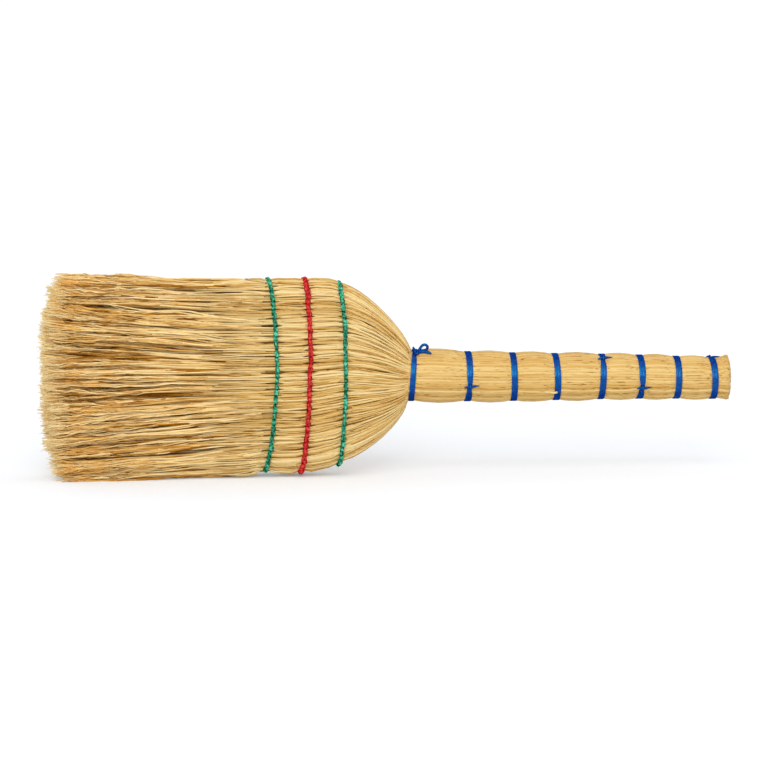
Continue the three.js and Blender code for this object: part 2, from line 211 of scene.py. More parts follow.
tie_boxes = [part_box(name) for name in TIE_NAMES]
tie_x = np.array([(low.x + high.x) / 2 for low, high in tie_boxes]) + TIE_SHIFTS
tie_z = np.array([(low.z + high.z) / 2 for low, high in tie_boxes])
droop, axis_at_origin = np.polyfit(tie_x, tie_z, 1)
neck_x = tie_x[0] - NECK_TO_TIE
neck_z = axis_at_origin + droop * neck_x
butt_x = cad_box[1].x + BUTT_REACH
butt_start = butt_x - 2 * BUTT_DOME
head_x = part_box("upper_shoulder_straw")[0].x
head_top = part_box("upper_shoulder_straw")[1].z + HEAD_LIFT
tip_x = cad_box[0].x
tip_top = cad_box[1].z


def axis_height(x):
    """Height of the handle's middle at x: it droops and sways, and its butt turns up a little."""
    end = np.clip((x - tie_x[-1]) / (butt_x - tie_x[-1]), 0, 1)
    tied = np.clip((x - tie_x[0]) / (tie_x[-1] - tie_x[0]), 0, 1)
    return axis_at_origin + droop * x - HANDLE_SWAY * np.sin(2 * math.pi * tied) + BUTT_LIFT * end


def section(x):
    """Lowest and highest point, half thickness and squareness of the broom's section at x."""
    if x >= neck_x:
        radius = np.interp(x, [neck_x, butt_x], [NECK_RADIUS, BUTT_RADIUS])
        bay = np.searchsorted(tie_x, x)
        if bay == len(tie_x):
            radius += BUTT_FLARE * (x - tie_x[-1]) / (butt_x - tie_x[-1])
        elif bay > 0:
            along = (x - tie_x[bay - 1]) / (tie_x[bay] - tie_x[bay - 1])
            radius += PILLOW * math.sin(math.pi * along) ** PILLOW_POWER
        return axis_height(x) - radius, axis_height(x) + radius, radius, ROUND
    out = neck_x - x
    loose = np.interp(x, [tip_x, head_x], [1, 0])

    def fan(run):
        return math.sin(math.pi / 2 * min(out / run, 1))

    top = head_top + (tip_top - head_top) * loose
    high = neck_z + NECK_RADIUS + (top - neck_z - NECK_RADIUS) * fan(UPPER_RUN) ** UPPER_FULLNESS
    low = neck_z - NECK_RADIUS - (neck_z + FOOT_DEPTH - NECK_RADIUS) * fan(LOWER_RUN) ** LOWER_FULLNESS
    half = np.interp(x, [tip_x, head_x, neck_x], [TIP_HALF_THICKNESS, HEAD_HALF_THICKNESS, NECK_RADIUS])
    return low, high, half, ROUND + SQUARENESS * fan(SQUARE_RUN)


def straw_mesh(name, paths, radii, tone, sides):
    """One mesh of separate straws, each along its row of points and with its own tone."""
    curve = bpy.data.curves.new(name, "CURVE")
    curve.dimensions = "3D"
    curve.bevel_depth = 1.0
    curve.bevel_resolution = sides // 2 - 2
    curve.use_fill_caps = True
    steps = paths.shape[1]
    for path, radius in zip(paths, radii):
        spline = curve.splines.new("POLY")
        spline.points.add(steps - 1)
        spline.points.foreach_set("co", np.column_stack((path, np.ones(steps))).ravel())
        spline.points.foreach_set("radius", radius)
    holder = bpy.data.objects.new(name, curve)
    bpy.context.collection.objects.link(holder)
    depsgraph = bpy.context.evaluated_depsgraph_get()
    mesh = bpy.data.meshes.new_from_object(holder.evaluated_get(depsgraph))
    bpy.data.objects.remove(holder)
    bpy.data.curves.remove(curve)
    tones = mesh.attributes.new("tone", "FLOAT", "POINT")
    ends = np.repeat(tone[::-1], 2 * sides)
    stems = np.repeat(tone, sides * steps)
    tones.data.foreach_set("value", np.concatenate((ends, stems)))
    return mesh


def add_piece(name, shape, materials, slot, *nodes):
    """The finished piece of a shape, riding on the broom in place of its CAD nodes."""
    mesh = bpy.data.meshes.new(name)
    shape.to_mesh(mesh)
    shape.free()
    for material in materials:
        mesh.materials.append(material)
    piece = bpy.data.objects.new(name, mesh)
    bpy.context.collection.objects.link(piece)
    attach(piece, "root")
    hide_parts(*nodes)
    return piece


def joined(meshes):
    """One bmesh of several straw meshes, with the caps welded to their stems."""
    shape = bmesh.new()
    for mesh in meshes:
        shape.from_mesh(mesh)
        bpy.data.meshes.remove(mesh)
    bmesh.ops.remove_doubles(shape, verts=shape.verts, dist=WELD_DISTANCE)
    return shape


def cut_ends(shape, beyond):
    """Gives the flat stalk ends past beyond a rim and a hollowed pith, which takes material 1."""
    ends = [face for face in shape.faces if len(face.verts) > 4 and face.calc_center_median().x > beyond]
    bmesh.ops.inset_individual(shape, faces=ends, thickness=CUT_RIM, depth=-CUT_HOLLOW)
    for face in ends:
        face.material_index = 1
        face.smooth = False


def colour(code):
    """Linear colour from a six-digit sRGB code."""
    parts = [int(code[place:place + 2], 16) / 255 for place in (0, 2, 4)]
    return [part / 12.92 if part <= 0.04045 else ((part + 0.055) / 1.055) ** 2.4 for part in parts] + [1.0]


def palette(tree, codes):
    """Colour ramp through evenly spaced colours."""
    ramp = tree.nodes.new("ShaderNodeValToRGB")
    for index, code in enumerate(codes):
        place = index / (len(codes) - 1)
        last = index == len(codes) - 1
        element = ramp.color_ramp.elements[-1] if last else (
            ramp.color_ramp.elements[0] if index == 0 else ramp.color_ramp.elements.new(place))
        element.position = place
        element.color = colour(code)
    return ramp


def grain_noise(tree, along, across, detail):
    """Noise drawn out along the straw: about 1/along and 1/across metres for each feature."""
    place = tree.nodes.new("ShaderNodeTexCoord")
    stretch = tree.nodes.new("ShaderNodeMapping")
    stretch.inputs["Scale"].default_value = (along, across, across)
    noise = tree.nodes.new("ShaderNodeTexNoise")
    noise.inputs["Scale"].default_value = 1.0
    noise.inputs["Detail"].default_value = detail
    tree.links.new(place.outputs["Object"], stretch.inputs["Vector"])
    tree.links.new(stretch.outputs["Vector"], noise.inputs["Vector"])
    return noise.outputs["Fac"]


def math_node(tree, operation, first, second, third=None):
    """One Math node, whose inputs are sockets or numbers."""
    node = tree.nodes.new("ShaderNodeMath")
    node.operation = operation
    for place, value in enumerate((first, second, third)):
        if isinstance(value, (int, float)):
            node.inputs[place].default_value = value
        elif value is not None:
            tree.links.new(value, node.inputs[place])
    return node.outputs["Value"]


def map_range(tree, value, source, target=(0.0, 1.0)):
    """Output of one Map Range node, from a source range to a target range."""
    node = tree.nodes.new("ShaderNodeMapRange")
    for end, number in zip(("From Min", "From Max", "To Min", "To Max"), (*source, *target)):
        node.inputs[end].default_value = number
    tree.links.new(value, node.inputs["Value"])
    return node.outputs["Result"]


def straw_finish(name, tones, streak, dash, roughness, gloss):
    """Dry straw: a tone for each straw, streaks and thin dark dashes along it, and a ribbed rind."""
    material = bpy.data.materials.new(name)
    material.use_nodes = True
    tree = material.node_tree
    shader = tree.nodes["Principled BSDF"]
    tone = tree.nodes.new("ShaderNodeAttribute")
    tone.attribute_name = "tone"
    streaks = grain_noise(tree, *STREAK_GRAIN)
    ribs = grain_noise(tree, *RIB_GRAIN)
    blotches = grain_noise(tree, *BLOTCH_GRAIN)
    mixed = math_node(tree, "MULTIPLY_ADD", streaks, streak, tone.outputs["Fac"])
    mixed = math_node(tree, "MULTIPLY_ADD", blotches, streak * BLOTCH_SHARE, mixed)
    mixed = math_node(tree, "SUBTRACT", mixed, streak * (1 + BLOTCH_SHARE) / 2)
    dashes = map_range(tree, grain_noise(tree, *DASH_GRAIN), DASH_RANGE, (0.0, dash))
    mixed = math_node(tree, "SUBTRACT", mixed, dashes)
    ramp = palette(tree, tones)
    tree.links.new(mixed, ramp.inputs["Fac"])
    tree.links.new(ramp.outputs["Color"], shader.inputs["Base Color"])
    rough = math_node(tree, "MULTIPLY_ADD", ribs, ROUGHNESS_SPREAD, roughness - ROUGHNESS_SPREAD / 2)
    tree.links.new(rough, shader.inputs["Roughness"])
    shader.inputs["Specular IOR Level"].default_value = gloss
    bump = tree.nodes.new("ShaderNodeBump")
    bump.inputs["Strength"].default_value = RIB_BUMP
    bump.inputs["Distance"].default_value = RIB_HEIGHT
    tree.links.new(ribs, bump.inputs["Height"])
    tree.links.new(bump.outputs["Normal"], shader.inputs["Normal"])
    return material, tree, ramp


straw_material = straw_finish("straw", STRAW_TONES, streak=0.4, dash=0.5, roughness=0.6, gloss=0.22)[0]
pith_material = straw_finish("straw_pith", PITH_TONES, streak=0.5, dash=0.5, roughness=0.8, gloss=0.22)[0]

core_random = np.random.default_rng(11)
core_places = []
rings = int(CORE_RADIUS / CORE_STALK)
for ring in range(rings + 1):
    count = max(1, round(2 * math.pi * ring))
    for turn in range(count):
        angle = 2 * math.pi * turn / count + ring
        core_places.append((ring * CORE_STALK * math.cos(angle), ring * CORE_STALK * math.sin(angle)))
core_places = np.array(core_places)
core_x = np.linspace(butt_x, neck_x - CORE_OVERLAP, CORE_STEPS)
core_share = np.linalg.norm(core_places, axis=1) / (BUTT_RADIUS + BUTT_FLARE)
core_paths = np.empty((len(core_places), len(core_x), 3))
for step, x in enumerate(core_x):
    core_paths[:, step, 0] = x
    core_paths[:, step, 1] = core_places[:, 0]
    core_paths[:, step, 2] = core_places[:, 1] + axis_height(x)
core_paths[:, 0, 0] -= BUTT_DOME * core_share ** 2 + core_random.uniform(0, CORE_RAGGED, len(core_places))
core_radii = core_random.uniform(*CORE_GIRTHS, (len(core_places), 1)) * CORE_STALK + 0 * core_x
core_tones = core_random.uniform(*CORE_TONES, len(core_places))
core_shape = joined([straw_mesh("handle_core", core_paths, core_radii, core_tones, sides=8)])
cut_ends(core_shape, butt_start)
add_piece("handle_core", core_shape, [straw_material, pith_material], "straw", "handle_core_stalks")


# Straw over the handle and the two faces of the head
# Whole stalks cover the handle, tight under the ties. From the neck their branching tops fan out
# over the head, where every row of stitches pinches them into small groups.
BUNDLES_PER_FACE = 10
FRONT = -1
BACK = 1
OUTLINE_STEPS = 160
BAY_SHARES = np.array([0.0, 0.1, 0.25, 0.5, 0.75, 0.9])
STALK_ENDS = np.array([0.0, 0.006, 0.014])
FAN_SHARES = np.array([0.03, 0.08, 0.15, 0.24, 0.36, 0.48, 0.6, 0.72, 0.82])
ROW_STEPS = np.array([0.0085, 0.004, 0.0, -0.004, -0.0085])
RUN_OUT_STEPS = np.array([0.016, 0.026, 0.04])
BOW_FADE = 0.06
WANDER_REACHES = (0.3, 1)
SHARE_MARGINS = (0.05, 0.95)
SHOULDER_SHARE = 0.1
STALK_LAYERS = [(0.0018, 4), (0.0036, 3)]
STALK_WANDER = (0.0005, 0.05, 0.12)
STALK_SINK = (0.0002, 0.03, 0.09)
STALK_UNEVEN = 0.0002
STALK_RAGGED = 0.0022
STALK_GIRTHS = (0.85, 1.1)
STALK_TONES = (0.34, 0.69)
NECK_TUCK_STEPS = np.array([0.014, 0.003, 0.0])
NECK_TUCKS = [0.004, 0.002, 0.0]
FAN_LAYERS = [(0.001, 10), (0.0023, 10), (0.004, 8)]
FAN_RADII = (0.0007, 0.00118)
FAN_NARROWING = [0.3, 0.95, 1.0, 0.55]
FAN_SINK = (0.0004, 0.04, 0.1)
FAN_WANDER = (0.0011, 0.05, 0.13)
FAN_TONES = (0.25, 0.95)
HELD_STILL = 0.8
HELD_SQUEEZE = 0.12
RUN_OUT_FROM = 0.005
RUN_OUT_STRETCH = (0.65, 1.8)
TOP_FROM = 0.95
TOP_STRETCH = 0.3
GROUPS_PER_HALF = 34
GROUP_LIMIT = GROUPS_PER_HALF + 2
NOTCH_LIMIT = GROUPS_PER_HALF + 3
ROW_NAMES = ["inner_green_stitching", "red_stitching", "outer_green_stitching"]
THREAD_REACH = 0.0017
ROW_TILTS = [0.0004, 0.0024, 0.0023]
STITCH_PHASES = [0.3, 0.75, 0.5]
STITCH_DRIFT = 0.3
STITCH_WAVES = 5
PINCH_WIDTHS = (0.004, 0.0105)
PINCH_FORCES = (0.35, 1.0)
FREE_PINCH = 2.0
PINCH_DRAW = 0.5
PINCH_DEPTH = 0.0013
NOTCH_DEPTH = 0.0024
TOP_SHARE = 0.05
TOP_EASE = 0.8
TUFTS_PER_HALF = 44
TUFT_DRAW = 0.4
TUFT_DEPTH = 0.0018
TUFT_SHIFT = 0.006
TUFT_RUN = 0.022
TUFT_DRIFT = 0.37
EDGE_PULLS = [0.0, 0.003, 0.006]
EDGE_PULL_RUN = 0.012
EDGE_PULL_SHARE = 0.15
NECK_SHIFT = 0.0016
NECK_SLANT = 0.0015
NECK_LEAN = -0.0018
SLANT_REACH = 0.035
LOOSE_BUNDLE = "front_straw_bundle_04"
LOOSE_TIE = 3
LOOSE_TURN = 0.337
LOOSE_STRAW = [(-0.011, -0.001), (-0.007, 0.0002), (-0.004, 0.0014), (-0.002, 0.0018), (0.0002, 0.0018)]
LOOSE_RADIUS = 0.0009
LOOSE_TONE = 0.95

row_boxes = [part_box(name) for name in ROW_NAMES]
row_x = np.array([low.x + THREAD_REACH for low, high in row_boxes])
row_bow = np.array([high.x - low.x - 2 * THREAD_REACH for low, high in row_boxes])


def half_outline(x):
    """Half of the section at x from its foot to its top: places, outward directions and run."""
    low, high, half, power = section(x)
    middle = (low + high) / 2
    height = (high - low) / 2
    angle = np.linspace(-math.pi / 2, math.pi / 2, OUTLINE_STEPS)
    sine = np.sin(angle)
    y = half * np.maximum(np.cos(angle), 0) ** (2 / power)
    z = middle + height * np.sign(sine) * np.abs(sine) ** (2 / power)
    out_y = (y / half) ** (power - 1) / half
    rise = (z - middle) / height
    out_z = np.sign(rise) * np.abs(rise) ** (power - 1) / height
    size = np.hypot(out_y, out_z)
    z = np.maximum(z, 0)
    run = np.concatenate(([0], np.cumsum(np.hypot(np.diff(y), np.diff(z)))))
    return y, z, out_y / size, out_z / size, run


def neck_slant(x, rise, forward):
    """Shift along the broom near the neck, which is tied aslant: rise and forward are -1 to 1."""
    shift = NECK_SHIFT + NECK_SLANT * rise + NECK_LEAN * forward
    return shift * math.exp(-((x - tie_x[0]) / SLANT_REACH) ** 2)


def lay_straws(stations, bows, tilts, share, depth, side):
    """Points of straws on one side of the broom: share is the way from the foot to the top."""
    points = np.empty((*share.shape, 3))
    for step, (x, bow, tilt) in enumerate(zip(stations, bows, tilts)):
        y, z, out_y, out_z, run = half_outline(x)
        place = np.clip(share[:, step], 0, 1) * run[-1]
        inward = depth[:, step]
        points[:, step, 1] = side * (np.interp(place, run, y) - inward * np.interp(place, run, out_y))
        points[:, step, 2] = np.interp(place, run, z) - inward * np.interp(place, run, out_z)
        rise = 2 * (points[:, step, 2] - z[0]) / (z[-1] - z[0]) - 1
        forward = -points[:, step, 1] / y.max()
        points[:, step, 0] = x + bow * (1 - rise ** 2) + tilt * rise + neck_slant(x, rise, forward)
    return points


def handle_point(x, turn, radius):
    """A point round the handle: turn is counted from the top towards the front."""
    angle = 2 * math.pi * turn
    rise = math.cos(angle)
    forward = math.sin(angle)
    return (x + neck_slant(x, rise, forward), -radius * forward, axis_height(x) + radius * rise)


def wander(random, count, stations, reach, shortest, longest):
    """A slow wave along each straw, at most reach to either side."""
    wave = random.uniform(shortest, longest, (count, 1))
    phase = random.uniform(0, 2 * math.pi, (count, 1))
    size = reach * random.uniform(*WANDER_REACHES, (count, 1))
    return size * np.sin(2 * math.pi * stations / wave + phase)


def spread_shares(random, count, low, high):
    """Uneven places between low and high, one in each equal part."""
    return low + (high - low) * (np.arange(count) + random.uniform(*SHARE_MARGINS, count)) / count


stalk_x = np.concatenate([
    [butt_x, (butt_x + tie_x[-1]) / 2, tie_x[-1]],
    *[low + (high - low) * BAY_SHARES[::-1] for low, high in reversed(list(zip(tie_x, tie_x[1:])))],
    neck_x - STALK_ENDS,
])
stalk_runs = np.array([half_outline(x)[4][-1] for x in stalk_x])
fan_x = np.concatenate([
    [tie_x[0], neck_x],
    neck_x + (row_x[0] - neck_x) * FAN_SHARES,
    *[x + ROW_STEPS for x in row_x],
    row_x[2] - RUN_OUT_STEPS,
])
tuft_hold = np.exp(-((fan_x - (neck_x + row_x[0]) / 2 - TUFT_SHIFT) / TUFT_RUN) ** 2)
pinch_run = np.where(fan_x < row_x[2], FREE_PINCH, 1)
pinch_random = np.random.default_rng(5)
pinch_widths = pinch_random.uniform(*PINCH_WIDTHS, (2, len(row_x), GROUP_LIMIT))
pinch_forces = pinch_random.uniform(*PINCH_FORCES, (2, len(row_x), NOTCH_LIMIT))
bow_x = [row_x[2] - BOW_FADE, *row_x[::-1], neck_x]
fan_bow = np.interp(fan_x, bow_x, [0, *row_bow[::-1], 0])
fan_tilt = np.interp(fan_x, bow_x, [0, *ROW_TILTS[::-1], 0])
fan_runs = np.array([half_outline(x)[4][-1] for x in fan_x])


def stitch_count(share, row):
    """Stitches of a row up to a share of the way from the foot to the top: they part the straw."""
    drift = STITCH_DRIFT * np.sin(2 * math.pi * (STITCH_WAVES * share + STITCH_PHASES[row]))
    return share * GROUPS_PER_HALF + STITCH_PHASES[row] + drift


def handle_stalks(random, low, high, side):
    """Stalks of one bundle along the handle, from the butt to just past the neck."""
    meshes = []
    for depth, count in STALK_LAYERS:
        share = spread_shares(random, count, low, high)[:, None]
        share = share + wander(random, count, stalk_x, *STALK_WANDER) / stalk_runs
        sunk = depth + wander(random, count, stalk_x, *STALK_SINK)
        sunk += random.uniform(-STALK_UNEVEN, STALK_UNEVEN, (count, 1))
        sunk += np.interp(stalk_x, neck_x - NECK_TUCK_STEPS, NECK_TUCKS)
        paths = lay_straws(stalk_x, 0 * stalk_x, 0 * stalk_x, share, sunk, side)
        reach = np.hypot(paths[:, 0, 1], paths[:, 0, 2] - axis_height(butt_x))
        paths[:, 0, 0] -= BUTT_DOME * (reach / (BUTT_RADIUS + BUTT_FLARE)) ** 2
        paths[:, 0, 0] -= random.uniform(0, STALK_RAGGED, count)
        radii = random.uniform(*STALK_GIRTHS, (count, 1)) * stalk_runs / (count * BUNDLES_PER_FACE)
        tones = random.uniform(*STALK_TONES, count)
        meshes.append(straw_mesh("stalks", paths, radii, tones, sides=8))
    return meshes


def fan_straws(random, low, high, side):
    """Straws of one bundle over the head, pinched at the rows and running out among the bristles."""
    share = np.concatenate([spread_shares(random, count, low, high) for _, count in FAN_LAYERS])
    depth = np.concatenate([np.full(count, layer) for layer, count in FAN_LAYERS])
    count = len(share)
    thick = random.uniform(*FAN_RADII, (count, 1))
    held = np.zeros((count, len(fan_x)))
    drawn = np.zeros((count, len(fan_x)))
    sunk = depth[:, None] + wander(random, count, fan_x, *FAN_SINK)
    for row, x in enumerate(row_x):
        place = stitch_count(share, row)
        group = np.floor(place).astype(int)
        aside = (place - group - 0.5)[:, None]
        near_notch = np.round(place).astype(int)
        force = pinch_forces[(side + 1) // 2, row, near_notch][:, None]
        width = pinch_widths[(side + 1) // 2, row, group][:, None] * pinch_run
        pinch = np.exp(-((fan_x - x) / width) ** 2)
        held += pinch
        drawn += PINCH_DRAW * force * pinch * aside / GROUPS_PER_HALF
        level = 1 - TOP_EASE * np.exp(-((1 - share[:, None]) / TOP_SHARE) ** 2)
        sunk += pinch * (PINCH_DEPTH * level + NOTCH_DEPTH * force * (2 * aside) ** 2)
        pull = EDGE_PULLS[row] * np.exp(-((fan_x - x) / EDGE_PULL_RUN) ** 2)
        sunk += pull * np.exp(-(share[:, None] / EDGE_PULL_SHARE) ** 2)
    tuft = share[:, None] * TUFTS_PER_HALF + TUFT_DRIFT
    aside = tuft - np.floor(tuft) - 0.5
    drawn += TUFT_DRAW * tuft_hold * aside / TUFTS_PER_HALF
    sunk += TUFT_DEPTH * tuft_hold * (2 * aside) ** 2
    held = np.minimum(held, 1)
    astray = (1 - HELD_STILL * held) * wander(random, count, fan_x, *FAN_WANDER) / fan_runs
    shares = share[:, None] + astray - drawn
    paths = lay_straws(fan_x, fan_bow, fan_tilt, shares, sunk, side)
    running_out = fan_x < row_x[2] - RUN_OUT_FROM
    stretch = random.uniform(*RUN_OUT_STRETCH, (count, 1))
    stretch *= np.where(share > TOP_FROM, TOP_STRETCH, 1)[:, None]
    paths[:, running_out, 0] = row_x[2] + (paths[:, running_out, 0] - row_x[2]) * stretch
    narrowing = np.interp(fan_x, [fan_x[-1], row_x[2], row_x[0], neck_x], FAN_NARROWING)
    radii = thick * narrowing * (1 - HELD_SQUEEZE * held)
    paths[:, :, 2] = np.maximum(paths[:, :, 2], radii)
    return straw_mesh("fan", paths, radii, random.uniform(*FAN_TONES, count), sides=6)


def loose_straw():
    """The end of one straw of the handle, which sticks out over the fourth tie."""
    x = tie_x[LOOSE_TIE]
    points = [
        handle_point(x + along, LOOSE_TURN, section(x + along)[2] + rise) for along, rise in LOOSE_STRAW
    ]
    radii = np.full((1, len(points)), LOOSE_RADIUS)
    return straw_mesh("loose", np.array([points]), radii, np.array([LOOSE_TONE]), sides=8)


cover_share = (1 - 2 * SHOULDER_SHARE) / BUNDLES_PER_FACE
for face, side in (("front", FRONT), ("back", BACK)):
    for index in range(BUNDLES_PER_FACE):
        bundle_random = np.random.default_rng(100 + 20 * (side + 1) + index)
        start = SHOULDER_SHARE + index * cover_share
        node = f"{face}_straw_bundle_{index + 1:02d}"
        bundle_shape = joined([
            *handle_stalks(bundle_random, index / BUNDLES_PER_FACE, (index + 1) / BUNDLES_PER_FACE, side),
            fan_straws(bundle_random, start, start + cover_share, side),
            *([loose_straw()] if node == LOOSE_BUNDLE else []),
        ])
        cut_ends(bundle_shape, butt_start)
        piece_name = f"{face}_straw_{index + 1:02d}"
        add_piece(piece_name, bundle_shape, [straw_material, pith_material], "straw", node)


# Straw along the two narrow edges of the head
# The lower edge is the one that the broom stands on. Its straws and those of the upper edge are sewn
# into the same rows as the faces.
for edge, low, high in (("lower", 0, SHOULDER_SHARE), ("upper", 1 - SHOULDER_SHARE, 1)):
    edge_random = np.random.default_rng(200 + round(10 * low))
    edge_shape = joined([fan_straws(edge_random, low, high, side) for side in (FRONT, BACK)])
    add_piece(f"{edge}_edge_straw", edge_shape, [straw_material], "straw", f"{edge}_shoulder_straw")


# Straw inside the head
# Loose straws fill the head behind the covering bundles and are held by the same stitches. They
# show only as shade in the notches and between the fanned straws, and they take the dark end of the
# straw tones: painted shade.
INNER_STRAWS = 220
INNER_SHARES = (0.03, 0.97)
INNER_DEPTHS = (0.006, 0.013)
INNER_STRETCH = (0.2, 1.4)
INNER_RADII = (0.0004, 0.0014)
INNER_SHADE_TONES = (0.0, 0.5)
inner_random = np.random.default_rng(31)
inner_meshes = []
for side in (FRONT, BACK):
    share = inner_random.uniform(*INNER_SHARES, (INNER_STRAWS, 1)) + 0 * fan_x
    sunk = inner_random.uniform(*INNER_DEPTHS, (INNER_STRAWS, 1)) + 0 * fan_x
    paths = lay_straws(fan_x, fan_bow, fan_tilt, share, sunk, side)
    ending = fan_x < row_x[2]
    stretch = inner_random.uniform(*INNER_STRETCH, (INNER_STRAWS, 1))
    paths[:, ending, 0] = row_x[2] + (paths[:, ending, 0] - row_x[2]) * stretch
    radii = np.broadcast_to(np.interp(fan_x, [fan_x[-1], row_x[2]], INNER_RADII), paths.shape[:2])
    # The inner straws' dark tones are painted shade.
    tones = inner_random.uniform(*INNER_SHADE_TONES, INNER_STRAWS)
    inner_meshes.append(straw_mesh("inner", paths, radii, tones, sides=4))
add_piece("inner_head_straw", joined(inner_meshes), [straw_material], "straw", "head_core_straw")


# Free bristles
# Past the last row the straw ends in stems, which branch into fine, kinked fibres. They hang together
# in clumps with dark gaps between, flare a little and end in a ragged, arched edge.
BRISTLE_NODES = ["lower_bristles", "lower_middle_bristles", "upper_middle_bristles", "upper_bristles"]
BRISTLE_TONES = ("5a2800", "bd7f1c", "e9c37c", "f9e0a6")
TIP_TONE = "f6c068"
TIP_PATCHES = (0.48, 0.65)
TIP_GRAIN = (45, 130, 2)
TIP_START = 0.1
TIP_END = 0.028
# Paler tips: partly the thin ends' own colour, partly painted light that lifts them out of their own
# shade.
TIP_PALENESS_AND_LIGHT = 0.8
ROOT_RUN = 0.07
ROOT_PALENESS = 0.14
CLUMP_ROWS = 7
CLUMP_COLUMNS = 5
CLUMP_RISES = (0.27, 0.73)
CLUMP_ASIDES = (0.15, 0.85)
TWIGS_PER_CLUMP = 7
TWIG_SPREAD = 0.32
GATHERS_PER_CLUMP = 3
GATHER_SIZES = (0.1, 0.4)
GATHER_PLACES = (0.1, 0.95)
GATHER_RUNS = (0.06, 0.2)
STEMS_PER_CLUMP = 23
STEM_STEPS = 10
STEM_RADII = (0.0006, 0.00105)
STEM_TAPER = ([0, 0.5, 0.86, 1], [1, 0.85, 0.6, 0.25])
STEM_SPREAD = 0.14
STEM_STARTS = (0.001, 0.012)
RISE_LIMIT = 0.994
ASIDE_LIMIT = 0.985
ROOM_POWER = 4
ROOT_INSET = 0.002
TIP_INSET = 0.0015
TOP_STATIONS = [0, 0.12, 0.8, 1]
TOP_SAG = 0.001
TOP_MARGIN = 0.001
FOOT_STATIONS = [0, 0.1, 0.35]
FOOT_HEIGHTS = [0.0045, 0.002, 0]
BRANCHES_PER_CLUMP = 30
BRANCH_STEPS = 13
BRANCH_RADII = (0.0004, 0.00062)
BRANCH_TAPER = ([0, 0.7, 1], [1, 0.9, 0.4])
BRANCH_LEAVES = (0.3, 0.8)
BRANCH_SPREAD = 0.0013
BRANCH_POWER = 1.5
TIP_TRIM = -0.0005
TIP_ARCHES = (0.0175, 0.0145)
ARCH_POWER = 4
TIP_RAGGED = 0.009
RAGGED_POWER = 1.6
SHORT_RAGGED = 0.06
SHORT_SHARE = 0.6
CLUMP_RAGGED = 0.006
TWIG_RAGGED = 0.005
FAN_OUT = 0.4
CLUMP_WAVE = (0.0014, 0.7, 1.6)
TWIG_WAVE = (0.002, 0.35, 0.9)
STEM_WAVE = (0.0011, 0.25, 0.65)
SWING_POWER = 0.8
KINK_WAVE = (0.0016, 0.011, 0.03)
KINK_POWER = 0.5
TIP_SPREAD = 0.0014
STRAY_SHARE = 0.035
STRAY_SPREAD = 0.006
STRAY_REACH = 0.005
STRAY_POWER = 3
SIDE_REACH = 0.036
GATHER_FROM = 0.05
GATHER_BY = 0.5
# Painted shade on the stems inside the head: where it starts, how fast it deepens and how dark it gets.
SHADE_FROM = 0.86
SHADE_RUN = 0.3
SHADE_DEPTH = 0.35
STEM_TONE = 0.83
CLUMP_TONE_SPREAD = 0.05
TONE_SPREAD = 0.19
DARK_SHARE = 0.2
DARK_DEPTH = 0.48

bristle_material, bristle_tree, bristle_ramp = straw_finish(
    "bristle_straw", BRISTLE_TONES, streak=0.22, dash=0.4, roughness=0.6, gloss=0.08)
tip_place = bristle_tree.nodes.new("ShaderNodeTexCoord")
tip_split = bristle_tree.nodes.new("ShaderNodeSeparateXYZ")
bristle_tree.links.new(tip_place.outputs["Object"], tip_split.inputs["Vector"])
bristle_x = tip_split.outputs["X"]
tip_end = map_range(bristle_tree, bristle_x, (tip_x + TIP_END, tip_x))
tip_start = map_range(bristle_tree, bristle_x, (tip_x + TIP_START, tip_x + TIP_END))
tip_fade = math_node(bristle_tree, "SUBTRACT", tip_start, tip_end)
tip_patches = map_range(bristle_tree, grain_noise(bristle_tree, *TIP_GRAIN), TIP_PATCHES)
tip_amount = math_node(bristle_tree, "MULTIPLY", tip_fade, tip_patches)
plain_tone = bristle_ramp.inputs["Fac"].links[0].from_socket
# The last few centimetres towards the tips are made paler: partly their own colour, partly painted light.
pale_tone = math_node(bristle_tree, "MULTIPLY_ADD", tip_end, TIP_PALENESS_AND_LIGHT, plain_tone)
root = map_range(bristle_tree, bristle_x, (row_x[2] - ROOT_RUN, row_x[2]), (0.0, ROOT_PALENESS))
pale_tone = math_node(bristle_tree, "ADD", pale_tone, root)
bristle_tree.links.new(pale_tone, bristle_ramp.inputs["Fac"])
tip_mix = bristle_tree.nodes.new("ShaderNodeMix")
tip_mix.data_type = "RGBA"
tip_mix.inputs["B"].default_value = colour(TIP_TONE)
bristle_tree.links.new(tip_amount, tip_mix.inputs["Factor"])
bristle_tree.links.new(bristle_ramp.outputs["Color"], tip_mix.inputs["A"])
bristle_tree.links.new(
    tip_mix.outputs["Result"], bristle_tree.nodes["Principled BSDF"].inputs["Base Color"])


